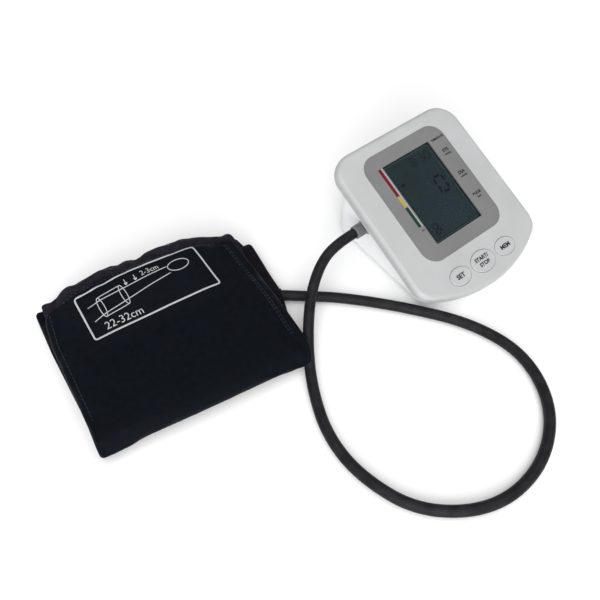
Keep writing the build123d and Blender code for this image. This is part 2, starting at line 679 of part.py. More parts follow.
# ---------------------------------------------------------------- assembly
def build_monitor():
    keep("top_shell", make_top_shell(), MONITOR)
    keep("bottom_shell", make_bottom_shell(), MONITOR)
    keep("battery_cover", make_battery_cover(), MONITOR)
    keep("display_bezel", make_bezel(), MONITOR)
    keep("display_window", make_window(), MONITOR)
    keep("lcd_panel", make_lcd(), MONITOR)
    keep("lcd_holder", make_lcd_holder(), MONITOR)
    keep("zebra_strips", group(make_zebra_strips()), MONITOR)
    keep("main_board", make_board(), MONITOR)
    keep("controller_chip", board_part(-14, 30, make_chip(14, 10, 10)), MONITOR)
    keep("memory_chip", board_part(16, 30, make_chip(6, 5, 4)), MONITOR)
    keep("amplifier_chip", board_part(-8, 88, make_chip(9, 4, 7)), MONITOR)
    capacitors = [board_part(x, 62, standing(4.0, 3.0)) for x in (22, 30)]
    keep("board_capacitors", group(capacitors), MONITOR)
    keep("buzzer", board_part(26, 76, standing(4.2, 6.0) - Pos(0, 0, 3.4) * standing(1, 1.2)), MONITOR)
    keep("pressure_sensor", board_part(*SENSOR, make_sensor()), MONITOR)
    keep("tact_switches", group(make_tact_switches()), MONITOR)
    posts, screws = make_board_posts_and_screws()
    keep("board_posts", group(posts), MONITOR)
    keep("board_screws", group(screws), MONITOR)
    for index, name in enumerate(("button_set", "button_start_stop", "button_memory")):
        keep(name, make_button(index), MONITOR)
    keep("battery_cells", group(make_cells()), MONITOR)
    keep("battery_springs", group(make_cell_springs()), MONITOR)
    keep("battery_contacts", group(make_cell_plates()), MONITOR)
    keep("pump_motor", make_motor(), MONITOR)
    keep("pump_head", make_pump_head(), MONITOR)
    keep("pump_cradle", make_pump_cradle(), MONITOR)
    keep("air_socket", make_air_socket(), MONITOR)
    keep("air_manifold", make_manifold(), MONITOR)
    keep("valve_coil", make_valve_coil(), MONITOR)
    keep("valve_yoke", make_valve_yoke(), MONITOR)
    feet = [upright(FOOT_RADIUS, 0, FEET_HEIGHT + 0.75, x, y) for x, y in FOOT_SPOTS]
    keep("rubber_feet", group(feet), MONITOR)
    screws = []
    for x, y in SCREW_POSTS:
        head = post_split(y) - 3.5
        screws.append(upright(SCREW_RADIUS - 0.05, head, head + 9, x, y) + upright(2.3, head - 1.6, head, x, y))
    keep("housing_screws", group(screws), MONITOR)


def build_air_tubes():
    for name, points in air_tube_routes().items():
        tube, _ = pipe(points, TUBE_RADIUS, TUBE_BORE, [3.5] * (len(points) - 2))
        keep(name, tube, MONITOR)


def build_hose():
    collar, nozzle, seal = make_plug()
    here = Pos(0, 0, 0)
    keep("plug_collar", collar, here)
    keep("plug_nozzle", nozzle, here)
    keep("plug_seal", seal, here)
    keep("air_hose", make_hose(), here)
    gland = make_gland()
    keep("cuff_gland", gland, here)
    return gland


def build_cuff(gland):
    solid_gland = CUFF.inverse() * gland
    base, bladder, middle, roll = make_lower_leaves(solid_gland)
    keep("cuff_base_leaf", base, CUFF)
    keep("cuff_bladder", bladder, CUFF)
    keep("cuff_middle_leaf", middle, CUFF)
    keep("cuff_far_roll", roll, CUFF)
    keep("cuff_near_fold", along_fold(FOLD_RADIUS, FOLD_V, FOLD_Z, 1, 138), CUFF)
    cover, core, lining, hook = make_top_leaf()
    keep("leaf_cover", cover, CUFF)
    keep("leaf_pad", core, CUFF)
    keep("leaf_lining", lining, CUFF)
    keep("hook_patch", hook, CUFF)
    keep("loop_patch", make_loop_patch(), CUFF)
    keep("cuff_ring", make_ring(), CUFF)
    keep("ring_loop", make_ring_loop(), CUFF)


build_monitor()
build_air_tubes()
build_cuff(build_hose())
os.makedirs("parts", exist_ok=True)
for name, part in PARTS.items():
    export_step(part, f"parts/{name}.step")
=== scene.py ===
"""Looks of the upper arm blood pressure monitor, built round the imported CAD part.

Local shapes are written in millimetres: on the monitor's sloping face (x to the right, v up the slope,
h above the face) or on the folded cuff (u along its width, v across it, z up).
"""

import bpy
import math
from mathutils import Matrix, Vector, noise
from mathutils.bvhtree import BVHTree


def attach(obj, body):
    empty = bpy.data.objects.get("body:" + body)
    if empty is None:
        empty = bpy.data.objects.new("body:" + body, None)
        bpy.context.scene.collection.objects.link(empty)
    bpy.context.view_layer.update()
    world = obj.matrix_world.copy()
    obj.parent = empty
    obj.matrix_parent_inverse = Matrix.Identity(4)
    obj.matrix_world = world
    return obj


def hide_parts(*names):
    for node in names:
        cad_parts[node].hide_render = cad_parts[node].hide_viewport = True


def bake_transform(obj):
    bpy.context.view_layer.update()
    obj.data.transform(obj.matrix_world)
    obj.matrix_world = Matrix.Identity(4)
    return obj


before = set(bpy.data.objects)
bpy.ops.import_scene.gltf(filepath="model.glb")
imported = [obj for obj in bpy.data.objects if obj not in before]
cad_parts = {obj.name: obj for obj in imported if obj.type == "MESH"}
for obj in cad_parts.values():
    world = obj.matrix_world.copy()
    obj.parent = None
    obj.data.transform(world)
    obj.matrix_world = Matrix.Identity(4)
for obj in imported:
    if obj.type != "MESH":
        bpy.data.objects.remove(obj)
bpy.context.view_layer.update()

# ---------------------------------------------------------------- measures, mm unless noted
MM = 0.001
CURVE_STEPS = 12                            # steps between two points of a smooth curve
FACE_TILT = math.radians(22.66)
FACE_NOSE = (114.0, -28.0 - 133.0 * math.cos(FACE_TILT) / 2, 12.0)
CUFF_CORNER = (-170.9, -30.5, 0.0)
CUFF_TURN = math.radians(-10.0)

CAMERA_PLACE = (-0.1767, -0.2378, 0.4088)   # metres
CAMERA_LOOKS = (0.351, 0.454, -0.819)
CAMERA_LENS = 42.0

HOSE_DIAMETER = 0.0075                      # metres
HOSE_ROUTE = [
    (0.052, -0.005, 0.029), (0.0345, -0.005, 0.029), (0.016, -0.0108, 0.0263), (-0.003, -0.024, 0.018),
    (-0.0235, -0.048, 0.0085), (-0.040, -0.074, 0.0038), (-0.053, -0.106, 0.0038), (-0.0535, -0.139, 0.0038),
    (-0.040, -0.176, 0.0038), (-0.004, -0.2015, 0.0038), (0.038, -0.201, 0.0038), (0.073, -0.179, 0.0038),
    (0.089, -0.141, 0.0038), (0.079, -0.102, 0.0038), (0.052, -0.064, 0.0038), (0.023, -0.031, 0.0038),
    (0.001, -0.012, 0.0038), (-0.0116, -0.0025, 0.005),
]

SCREEN_LOW = 44.3
SCREEN_HIGH = 111.5
SCREEN_HALF = 22.4
LCD_DEPTH = 2.6
BEZEL_TOP = -0.1
BUTTON_ROW = 16.8
BUTTON_SPACING = 22.3
BUTTON_TOP = 0.6

PRINT_GAP = 0.02                            # a print's clearance above the CAD surface under it
PRINT_THICK = 0.06
TEXT_DEPTH = 0.04
TEXT_BOLD = 0.04                            # share of a text's size
LEGEND_COLUMN = 30.4
UNIT_SIZE = 2.1
SCALE_LEFT = -26.8
SCALE_RIGHT = -24.4
SCALE_TOP = 111.0
SEGMENT_STROKE = 0.14                       # share of a digit's height
CLOCK_ROW = 101.0
CLOCK_DOT = 0.8
OUTLINE_INSET = 1.0
OUTLINE_WIDTH = 0.35

FACE = (
    Matrix.Translation(Vector(FACE_NOSE) * MM) @ Matrix.Rotation(FACE_TILT, 4, "X") @ Matrix.Scale(MM, 4)
)
CUFF = (
    Matrix.Translation(Vector(CUFF_CORNER) * MM) @ Matrix.Rotation(CUFF_TURN, 4, "Z") @ Matrix.Scale(MM, 4)
)

# the printed label: its own size, and where its corners lie on the leaf
LABEL_LENGTH = 88.0
LABEL_WIDTH = 33.0
LABEL_NEAR_LEFT = (24.2, 68.2)
LABEL_NEAR_RIGHT = (114.5, 72.6)
LABEL_FAR_LEFT = (21.4, 100.0)
LABEL_FAR_RIGHT = (107.8, 103.1)
LABEL_CORNER = 1.6
LABEL_FRAME_WIDTH = 1.15
DRAWING_WIDTH = 0.55
STITCH_WIDTH = 0.5
LABEL_STEP = 0.8                            # usual spacing of the points of a printed stroke
INK_LIFT = 0.10                             # middle of a print above the cloth
RAISED_LIFT = 0.12                          # the same for texts and stitches
INK_THICK = 0.08
RAY_TOP = 60.0                              # looks down at the cloth from this height
MISSED_HEIGHT = 18.0                        # height taken where the look misses the cloth

# the label's generic pictogram, in millimetres along and across the label
DRAWN_ARM_START = (5.0, 17.0)
DRAWN_ARM_END = (64.0, 22.5)
DRAWN_SHOULDER_HALF = 5.2
DRAWN_WRIST_HALF = 2.6
DRAWN_CUFF_ENDS = (0.14, 0.42)              # shares of the arm's length
DRAWN_CUFF_OVAL = 1.8
DRAWN_CUFF_OVERHANG = 1.35                  # cuff's half height against the shoulder's
DRAWN_HAND_LENGTH = 7.5
DRAWN_HAND_RISE = 1.0
DRAWN_ARROW_SHIFTS = (0.08, 0.2)            # shares of the arm's length past the cuff
DRAWN_ARROW_LENGTH = 4.0
DRAWN_ARROW_HEAD = (1.0, 1.4)

# edges of the cuff's sheets: (place across the cuff, place along its width)
TOP_LEFT = [(-4, 0), (15, 0), (45, -1.5), (80, -3.5), (100, -2), (112, 0)]
TOP_RIGHT = [(-4, 145), (4, 148), (12, 148), (44, 146), (80, 142), (92, 140), (106, 136), (112, 134)]
MIDDLE_LEFT = [(6, 2), (40, -0.5), (107, -6)]
MIDDLE_RIGHT = [(6, 139), (18, 144), (46, 150.5), (58, 152.5), (107, 152.5)]
BASE_LEFT = [(2, 1.5), (45, -2.5), (87, -6), (121, -7)]
BASE_RIGHT = [(2, 140), (18, 144), (46, 150.5), (106, 149.5), (121, 146)]
ROLL_LEFT = [(80, -1), (110, -0.5)]
ROLL_RIGHT = [(80, 143), (100, 142), (118, 138)]
# how high the far roll stands along the cuff's width, as a share of its usual height
ROLL_HEIGHT = [
    (-2, 0.5), (8, 0.66), (22, 0.96), (37, 1.09), (73, 1.12), (104, 1.07), (123, 0.80), (140, 0.68),
]
TOP_PROFILE_SHARE = 1.09                    # the share that the top leaf's profile is drawn for
TOP_PROFILE_RISE = 26.0

EDGE_BAND = 4.0                             # a sheet's columns are closer together in this band
COLUMN_PITCH = 3.2
WIDTH_PLACE = 50                            # a sheet's width is taken here across the cuff
CLOTH_FRAMES = 20
CLOTH_PRESSURE = 4.0
HELD_ROWS = 2                               # rows and columns at a sheet's edges that the cloth keeps
HELD_COLUMNS = 3

TABLE_HALF = 4.0                            # metres
TABLE_DROP = 0.0003
WORLD_STRENGTH = 0.45
LIGHT_AIM = (0, -0.05, 0)
KEY_PLACE = (-1.5, -1.8, 1.3)
KEY_SIZE = 2.2
KEY_POWER = 66                              # watts
TOP_PLACE = (0.0, -0.4, 2.4)
TOP_SIZE = 2.6
TOP_POWER = 30


# ---------------------------------------------------------------- small helpers
def ramp(points, at):
    """Value at a place, straight between the listed (place, value) pairs."""
    if at <= points[0][0]:
        return points[0][1]
    for (a, low), (b, high) in zip(points, points[1:]):
        if at <= b:
            return low + (high - low) * (at - a) / (b - a)
    return points[-1][1]


def smooth(value):
    """Eases from 0 to 1 as the value does."""
    value = min(max(value, 0.0), 1.0)
    return value * value * (3 - 2 * value)


def between(a, b, c, d, t):
    """Value at share t from b to c on the smooth (Catmull-Rom) curve through a, b, c and d."""
    square = 2 * a - 5 * b + 4 * c - d
    cube = 3 * b - a - 3 * c + d
    return 0.5 * (2 * b + (c - a) * t + square * t**2 + cube * t**3)


def curve_through(points, count):
    """Points evenly shared along a smooth curve through the given ones."""
    padded = [points[0], *points, points[-1]]
    curve = []
    for around in zip(padded, padded[1:], padded[2:], padded[3:]):
        for step in range(CURVE_STEPS):
            curve.append(tuple(between(*values, step / CURVE_STEPS) for values in zip(*around)))
    curve.append(points[-1])
    places = [i * (len(curve) - 1) / (count - 1) for i in range(count)]
    out = []
    for place in places:
        index = min(int(place), len(curve) - 2)
        share = place - index
        out.append(tuple(a + (b - a) * share for a, b in zip(curve[index], curve[index + 1])))
    return out


def make_object(name, verts, faces, where, material, uvs=None):
    """A smooth mesh object from local millimetre points, placed in the shared frame."""
    mesh = bpy.data.meshes.new(name)
    mesh.from_pydata([where @ Vector(v) for v in verts], [], faces)
    mesh.polygons.foreach_set("use_smooth", [True] * len(mesh.polygons))
    if uvs:
        layer = mesh.uv_layers.new(name="cloth_mm")
        for loop in mesh.loops:
            layer.data[loop.index].uv = uvs[loop.vertex_index]
    mesh.materials.append(material)
    mesh.update()
    obj = bpy.data.objects.new(name, mesh)
    bpy.context.scene.collection.objects.link(obj)
    return obj


# ---------------------------------------------------------------- materials
def new_material(name, colour, roughness, metallic=0.0):
    """A material, its node tree and its main shader, with plain values on the shader's own sockets."""
    material = bpy.data.materials.new(name)
    material.use_nodes = True
    tree = material.node_tree
    shader = tree.nodes["Principled BSDF"]
    shader.inputs["Base Color"].default_value = (*colour, 1)
    shader.inputs["Roughness"].default_value = roughness
    shader.inputs["Metallic"].default_value = metallic
    return material, tree, shader


def coordinates(tree, source):
    """Texture coordinates: source is Object (metres) or UV (millimetres along the cloth)."""
    return tree.nodes.new("ShaderNodeTexCoord").outputs[source]


def noise_field(tree, vector, scale, detail=3.0):
    """Soft procedural noise from 0 to 1."""
    field = tree.nodes.new("ShaderNodeTexNoise")
    field.inputs["Scale"].default_value = scale
    field.inputs["Detail"].default_value = detail
    tree.links.new(vector, field.inputs["Vector"])
    return field.outputs["Fac"]


def two_tone(tree, factor, low, high, target, start=0.35, end=0.65):
    """Mixes two colours by a factor into a colour socket."""
    blend = tree.nodes.new("ShaderNodeValToRGB")
    blend.color_ramp.elements[0].position = start
    blend.color_ramp.elements[1].position = end
    blend.color_ramp.elements[0].color = (*low, 1)
    blend.color_ramp.elements[1].color = (*high, 1)
    tree.links.new(factor, blend.inputs["Fac"])
    tree.links.new(blend.outputs["Color"], target)


def spread(tree, factor, low, high, target):
    """Maps a 0-1 factor to a range on a value socket."""
    change = tree.nodes.new("ShaderNodeMapRange")
    change.inputs["To Min"].default_value = low
    change.inputs["To Max"].default_value = high
    tree.links.new(factor, change.inputs["Value"])
    tree.links.new(change.outputs["Result"], target)


def relief(tree, shader, height, distance, strength=1.0, below=None):
    """Bump of the given height field, in metres; below is an earlier bump it adds to."""
    bump = tree.nodes.new("ShaderNodeBump")
    bump.inputs["Distance"].default_value = distance
    bump.inputs["Strength"].default_value = strength
    tree.links.new(height, bump.inputs["Height"])
    if below:
        tree.links.new(below.outputs["Normal"], bump.inputs["Normal"])
    tree.links.new(bump.outputs["Normal"], shader.inputs["Normal"])
    return bump


def moulded_plastic(name, low, high, roughness, grain=1800.0, depth=0.00003):
    """Moulded plastic: faint tone changes, a fine grain and an uneven gloss."""
    material, tree, shader = new_material(name, high, roughness)
    vector = coordinates(tree, "Object")
    two_tone(tree, noise_field(tree, vector, 35), low, high, shader.inputs["Base Color"])
    marks = noise_field(tree, vector, 160, 6)
    spread(tree, marks, roughness - 0.08, roughness + 0.10, shader.inputs["Roughness"])
    relief(tree, shader, noise_field(tree, vector, grain, 2), depth)
    shader.inputs["Coat Weight"].default_value = 0.08
    shader.inputs["Coat Roughness"].default_value = 0.3
    return material


def metal(name, colour, roughness):
    """Plated metal, slightly uneven in tone and gloss."""
    material, tree, shader = new_material(name, colour, roughness, 1.0)
    vector = coordinates(tree, "Object")
    dark = tuple(c * 0.75 for c in colour)
    two_tone(tree, noise_field(tree, vector, 90), dark, colour, shader.inputs["Base Color"])
    marks = noise_field(tree, vector, 900, 5)
    spread(tree, marks, roughness * 0.7, roughness * 1.4, shader.inputs["Roughness"])
    return material


def threads(tree, vector, direction, per_mm):
    """One set of parallel threads, as a height field."""
    wave = tree.nodes.new("ShaderNodeTexWave")
    wave.bands_direction = direction
    wave.inputs["Scale"].default_value = per_mm
    wave.inputs["Distortion"].default_value = 0.6
    wave.inputs["Detail Scale"].default_value = 1.5
    tree.links.new(vector, wave.inputs["Vector"])
    return wave.outputs["Fac"]


def combine(tree, operation, first, second):
    """One value from two by a named operation."""
    node = tree.nodes.new("ShaderNodeMath")
    node.operation = operation
    tree.links.new(first, node.inputs[0])
    tree.links.new(second, node.inputs[1])
    return node.outputs["Value"]


def woven_cloth(name, low, high, roughness, sheen, per_mm=0.55, crease=0.0009):
    """Woven cloth: crossed threads, soft creases, tone changes and a sheen at grazing angles."""
    material, tree, shader = new_material(name, high, roughness)
    cloth = coordinates(tree, "UV")
    room = coordinates(tree, "Object")
    weave = combine(tree, "MAXIMUM", threads(tree, cloth, "X", per_mm), threads(tree, cloth, "Y", per_mm))
    fuzz = noise_field(tree, room, 260, 5)
    two_tone(tree, combine(tree, "MULTIPLY", weave, fuzz), low, high, shader.inputs["Base Color"], 0.15, 0.6)
    spread(tree, fuzz, roughness - 0.07, roughness + 0.12, shader.inputs["Roughness"])
    creases = relief(tree, shader, noise_field(tree, room, 55, 4), crease)
    relief(tree, shader, weave, 0.00012, 0.7, creases)
    shader.inputs["Sheen Weight"].default_value = sheen
    shader.inputs["Sheen Roughness"].default_value = 0.45
    shader.inputs["Sheen Tint"].default_value = (0.55, 0.62, 0.80, 1)
    shader.inputs["Specular IOR Level"].default_value = 0.06
    return material


def pile_cloth(name, low, high):
    """Hook-and-loop pile: a dense irregular nap."""
    material, tree, shader = new_material(name, high, 0.85)
    vector = coordinates(tree, "Object")
    nap = noise_field(tree, vector, 1400, 6)
    two_tone(tree, nap, low, high, shader.inputs["Base Color"])
    relief(tree, shader, nap, 0.0006)
    shader.inputs["Sheen Weight"].default_value = 0.05
    shader.inputs["Specular IOR Level"].default_value = 0.1
    return material


def hose_rubber(name):
    """Satin black rubber with a fine grain, slightly uneven in tone and gloss."""
    material, tree, shader = new_material(name, (0.012, 0.012, 0.014), 0.38)
    vector = coordinates(tree, "Object")
    low, high = (0.006, 0.006, 0.007), (0.014, 0.013, 0.016)
    two_tone(tree, noise_field(tree, vector, 120), low, high, shader.inputs["Base Color"])
    spread(tree, noise_field(tree, vector, 420, 6), 0.42, 0.62, shader.inputs["Roughness"])
    relief(tree, shader, noise_field(tree, vector, 700, 4), 0.00006)
    shader.inputs["Specular IOR Level"].default_value = 0.16
    return material


def ink(name, colour, roughness=0.5):
    """Printed ink with slightly uneven cover."""
    material, tree, shader = new_material(name, colour, roughness)
    vector = coordinates(tree, "Object")
    thin = tuple(c * 0.82 for c in colour)
    two_tone(tree, noise_field(tree, vector, 1500, 2), thin, colour, shader.inputs["Base Color"])
    shader.inputs["Specular IOR Level"].default_value = 0.12
    return material


def clear_pane(name):
    """Thin clear pane that shows what is behind it, with a soft reflection."""
    material, tree, shader = new_material(name, (0.03, 0.035, 0.04), 0.04)
    vector = coordinates(tree, "Object")
    spread(tree, noise_field(tree, vector, 60, 4), 0.03, 0.09, shader.inputs["Roughness"])
    shader.inputs["Alpha"].default_value = 0.06
    shader.inputs["Specular IOR Level"].default_value = 0.05
    return material


def display_glass(name):
    """Unlit liquid crystal: a dark blue-green sheet with a faint cloudiness."""
    material, tree, shader = new_material(name, (0.02, 0.035, 0.045), 0.22)
    vector = coordinates(tree, "Object")
    low, high = (0.012, 0.023, 0.026), (0.017, 0.031, 0.036)
    two_tone(tree, noise_field(tree, vector, 25, 2), low, high, shader.inputs["Base Color"])
    shader.inputs["Specular IOR Level"].default_value = 0.12
    return material


# the top shell and buttons are greyer than the lower shell, as each looks in the light: their grey is painted
# shade on white plastic
SHADED_WHITE = moulded_plastic("white_plastic", (0.405, 0.41, 0.413), (0.435, 0.44, 0.443), 0.42)
LOWER_WHITE = moulded_plastic("lower_white_plastic", (0.80, 0.81, 0.82), (0.85, 0.86, 0.87), 0.48)
GREY_TRIM = moulded_plastic("grey_trim", (0.152, 0.151, 0.151), (0.168, 0.167, 0.167), 0.36, 2600, 0.00002)
PALE = moulded_plastic("pale_plastic", (0.60, 0.60, 0.56), (0.68, 0.67, 0.62), 0.5)
DARK_PLASTIC = moulded_plastic("black_plastic", (0.02, 0.02, 0.022), (0.035, 0.035, 0.037), 0.45)
PLUG_GREY = moulded_plastic("plug_grey", (0.075, 0.078, 0.082), (0.26, 0.265, 0.27), 0.32, 700, 0.0001)
BOARD = moulded_plastic("board_green", (0.02, 0.13, 0.06), (0.03, 0.19, 0.09), 0.35)
CELL = moulded_plastic("cell_jacket", (0.06, 0.06, 0.07), (0.12, 0.12, 0.14), 0.3)
RUBBER = hose_rubber("black_rubber")
STEEL = metal("bright_metal", (0.62, 0.62, 0.64), 0.28)
DARK_STEEL = metal("dark_steel", (0.28, 0.28, 0.29), 0.35)
CHROME = metal("chromed_wire", (0.78, 0.78, 0.80), 0.12)
COPPER = metal("copper_winding", (0.62, 0.30, 0.14), 0.35)
PANE = clear_pane("clear_pane")
LCD = display_glass("dark_display")
SEGMENTS = ink("lcd_segments", (0.0015, 0.003, 0.008), 0.5)
LCD_EDGE = ink("lcd_edge", (0.07, 0.09, 0.10), 0.3)
WHITE_INK = ink("white_ink", (0.48, 0.49, 0.51))
DARK_INK = ink("dark_ink", (0.022, 0.022, 0.025))
SCALE_LINE = ink("scale_line", (0.42, 0.43, 0.44))
RED_INK = ink("red_ink", (0.15, 0.010, 0.018))
YELLOW_INK = ink("yellow_ink", (0.40, 0.31, 0.07))
GREEN_INK = ink("green_ink", (0.008, 0.045, 0.026))
NYLON = woven_cloth("navy_nylon", (0.0008, 0.0014, 0.0027), (0.0028, 0.0048, 0.0088), 0.52, 0.03)
LINING = woven_cloth("cuff_lining", (0.002, 0.002, 0.003), (0.012, 0.011, 0.016), 0.75, 0.03, 0.4)
ROLLED = woven_cloth("rolled_lining", (0.005, 0.0045, 0.007), (0.020, 0.0175, 0.026), 0.7, 0.05, 0.4, 0.0035)
THREAD = woven_cloth("navy_thread", (0.012, 0.017, 0.026), (0.030, 0.040, 0.058), 0.6, 0.3, 2.0)
PILE = pile_cloth("velcro_pile", (0.004, 0.004, 0.006), (0.022, 0.022, 0.027))
HOOKS = pile_cloth("velcro_hooks", (0.006, 0.006, 0.008), (0.040, 0.040, 0.044))

CAD_LOOKS = {
    # the top shell and buttons get the greyer white, which is painted shade
    SHADED_WHITE: ("top_shell", "button_set", "button_start_stop", "button_memory"),
    LOWER_WHITE: ("bottom_shell", "battery_cover"),
    GREY_TRIM: ("display_bezel", "air_socket"),
    PLUG_GREY: ("plug_collar", "plug_nozzle"),
    PANE: ("display_window",),
    LCD: ("lcd_panel",),
    PALE: ("lcd_holder", "board_posts", "air_manifold", "pump_head"),
    RUBBER: (
        "cuff_gland", "plug_seal", "rubber_feet", "zebra_strips", "air_tube_port", "air_tube_pump",
        "air_tube_valve", "air_tube_sensor", "pump_cradle", "cuff_bladder",
    ),
    BOARD: ("main_board",),
    DARK_PLASTIC: (
        "controller_chip", "memory_chip", "amplifier_chip", "buzzer", "pressure_sensor", "tact_switches",
    ),
    STEEL: ("board_capacitors", "battery_springs", "battery_contacts", "pump_motor", "valve_yoke"),
    DARK_STEEL: ("board_screws", "housing_screws"),
    CELL: ("battery_cells",),
    COPPER: ("valve_coil",),
    CHROME: ("cuff_ring",),
    LINING: ("ring_loop",),
}


def dress_cad():
    """Gives every CAD node that is shown as it is its own material."""
    for material, nodes in CAD_LOOKS.items():
        for node in nodes:
            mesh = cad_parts[node].data
            mesh.materials.clear()
            mesh.materials.append(material)


# ---------------------------------------------------------------- camera, light, table
def make_camera():
    """The camera, at the photograph's viewing angle."""
    data = bpy.data.cameras.new("camera")
    data.lens = CAMERA_LENS
    camera = bpy.data.objects.new("camera", data)
    camera.location = CAMERA_PLACE
    camera.rotation_mode = "QUATERNION"
    camera.rotation_quaternion = Vector(CAMERA_LOOKS).to_track_quat("-Z", "Y")
    bpy.context.scene.collection.objects.link(camera)
    bpy.context.scene.camera = camera


def add_soft_light(name, place, size, power):
    """A large square light turned towards the object."""
    data = bpy.data.lights.new(name, "AREA")
    data.size = size
    data.energy = power
    lamp = bpy.data.objects.new(name, data)
    lamp.location = place
    lamp.rotation_mode = "QUATERNION"
    lamp.rotation_quaternion = (Vector(LIGHT_AIM) - Vector(place)).to_track_quat("-Z", "Y")
    bpy.context.scene.collection.objects.link(lamp)


def make_studio():
    """Plain pale table, an even white surrounding and two large soft lights."""
    material, tree, shader = new_material("pale_table", (0.97, 0.97, 0.97), 0.9)
    vector = coordinates(tree, "Object")
    low, high = (0.96, 0.96, 0.96), (0.98, 0.98, 0.98)
    two_tone(tree, noise_field(tree, vector, 3), low, high, shader.inputs["Base Color"])
    corners = [(x, y, 0) for x, y in bar(-TABLE_HALF, TABLE_HALF, -TABLE_HALF, TABLE_HALF)]
    table = make_object("table", corners, [(0, 1, 2, 3)], Matrix.Translation((0, 0, -TABLE_DROP)), material)
    world = bpy.data.worlds.new("studio")
    world.use_nodes = True
    world.node_tree.nodes["Background"].inputs["Color"].default_value = (1, 1, 1, 1)
    world.node_tree.nodes["Background"].inputs["Strength"].default_value = WORLD_STRENGTH
    bpy.context.scene.world = world
    bpy.context.scene.view_settings.view_transform = "Standard"
    add_soft_light("key", KEY_PLACE, KEY_SIZE, KEY_POWER)
    add_soft_light("top", TOP_PLACE, TOP_SIZE, TOP_POWER)


# ---------------------------------------------------------------- hose
def make_hose():
    """The rubber hose, one open spline along the CAD route's points."""
    data = bpy.data.curves.new("hose", "CURVE")
    data.dimensions = "3D"
    data.bevel_depth = HOSE_DIAMETER / 2
    data.bevel_resolution = 10
    spline = data.splines.new("NURBS")
    spline.points.add(len(HOSE_ROUTE) - 1)
    for point, place in zip(spline.points, HOSE_ROUTE):
        point.co = (*place, 1)
    spline.order_u = 3
    spline.use_endpoint_u = True
    spline.resolution_u = 16
    data.materials.append(RUBBER)
    hose = bpy.data.objects.new("hose", data)
    bpy.context.scene.collection.objects.link(hose)
    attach(hose, "cuff")
    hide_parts("air_hose")


# ---------------------------------------------------------------- cuff
def side_steps(width):
    """Places across a sheet, close together near both side edges."""
    near = [0.0, 0.35, 1.1, 2.3, EDGE_BAND]
    inner_width = width - 2 * EDGE_BAND
    count = int(inner_width / COLUMN_PITCH)
    middle = [EDGE_BAND + inner_width * i / count for i in range(1, count)]
    return near + middle + [width - step for step in reversed(near)]


def sheet_mesh(name, outer, inner, left, right, material, shape=None, corner=(3.0, 3.0)):
    """A closed padded sheet: an outer and an inner profile swept across the cuff's width.

    Profiles are (v, z) points of equal count. shape(u, v, z, top) may move a point.
    Sides and ends are rounded, and the plan's corners are cut back by the start's and the end's radius.
    Returns the sheet and its free points, which are the upper ones away from its edges.
    """
    rows = len(outer)
    run = [0.0]
    for a, b in zip(outer, outer[1:]):
        run.append(run[-1] + math.dist(a, b))
    columns = side_steps(ramp(right, WIDTH_PLACE) - ramp(left, WIDTH_PLACE))
    width = columns[-1]
    verts, uvs, top, bottom = [], [], [], []
    for i in range(rows):
        to_end = min(run[i], run[-1] - run[i])
        radius = corner[0] if run[i] < run[-1] / 2 else corner[1]
        cut = radius - math.sqrt(max(0.0, radius**2 - max(0.0, radius - to_end) ** 2))
        middle_v = (outer[i][0] + inner[i][0]) / 2
        low, high = ramp(left, middle_v) + cut, ramp(right, middle_v) - cut
        half = math.dist(outer[i], inner[i]) / 2
        top_row, bottom_row = [], []
        for step in columns:
            u = low + (high - low) * step / width
            edge = min(step, width - step, to_end)
            full = math.sqrt(max(0.0, 1 - (1 - min(edge / max(half, 0.5), 1)) ** 2))
            for row, side in ((top_row, 1), (bottom_row, -1)):
                if side == -1 and full == 0:
                    row.append(top_row[len(row)])
                    continue
                v = middle_v + side * full * (outer[i][0] - inner[i][0]) / 2
                z = (outer[i][1] + inner[i][1]) / 2 + side * full * (outer[i][1] - inner[i][1]) / 2
                point = shape(u, v, z, side > 0) if shape else (u, v, z)
                row.append(len(verts))
                verts.append(point)
                uvs.append((u, run[i]))
        top.append(top_row)
        bottom.append(bottom_row)
    faces = []
    for i in range(rows - 1):
        for j in range(len(columns) - 1):
            faces.append((top[i][j], top[i][j + 1], top[i + 1][j + 1], top[i + 1][j]))
            faces.append((bottom[i][j], bottom[i + 1][j], bottom[i + 1][j + 1], bottom[i][j + 1]))
    obj = make_object(name, verts, faces, CUFF, material, uvs)
    free = {index for row in top[HELD_ROWS:-HELD_ROWS] for index in row[HELD_COLUMNS:-HELD_COLUMNS]}
    return obj, free


def puff(obj, free, slack, most):
    """Lets the sheet's free points billow as cloth, none of them by more than `most` metres."""
    group = obj.vertex_groups.new(name="held")
    held = [v.index for v in obj.data.vertices if v.index not in free]
    group.add(held, 1.0, "REPLACE")
    rest = [v.co.copy() for v in obj.data.vertices]
    cloth = obj.modifiers.new("cloth", "CLOTH")
    cloth.settings.quality = 6
    cloth.settings.mass = 0.15
    cloth.settings.bending_stiffness = 0.05
    cloth.settings.vertex_group_mass = "held"
    cloth.settings.shrink_min = -slack
    cloth.settings.use_pressure = True
    cloth.settings.uniform_pressure_force = CLOTH_PRESSURE
    cloth.settings.effector_weights.gravity = 0
    cloth.collision_settings.use_collision = False
    cloth.point_cache.frame_start = 1
    cloth.point_cache.frame_end = CLOTH_FRAMES
    for number in range(1, CLOTH_FRAMES + 1):
        bpy.context.scene.frame_set(number)
    depsgraph = bpy.context.evaluated_depsgraph_get()
    moved = obj.evaluated_get(depsgraph).to_mesh()
    for vertex, start, after in zip(obj.data.vertices, rest, moved.vertices):
        shift = after.co - start
        if shift.length > most:
            shift = shift * (most / shift.length)
        vertex.co = start + shift
    obj.evaluated_get(depsgraph).to_mesh_clear()
    obj.modifiers.clear()
    obj.vertex_groups.clear()
    bpy.context.scene.frame_set(1)


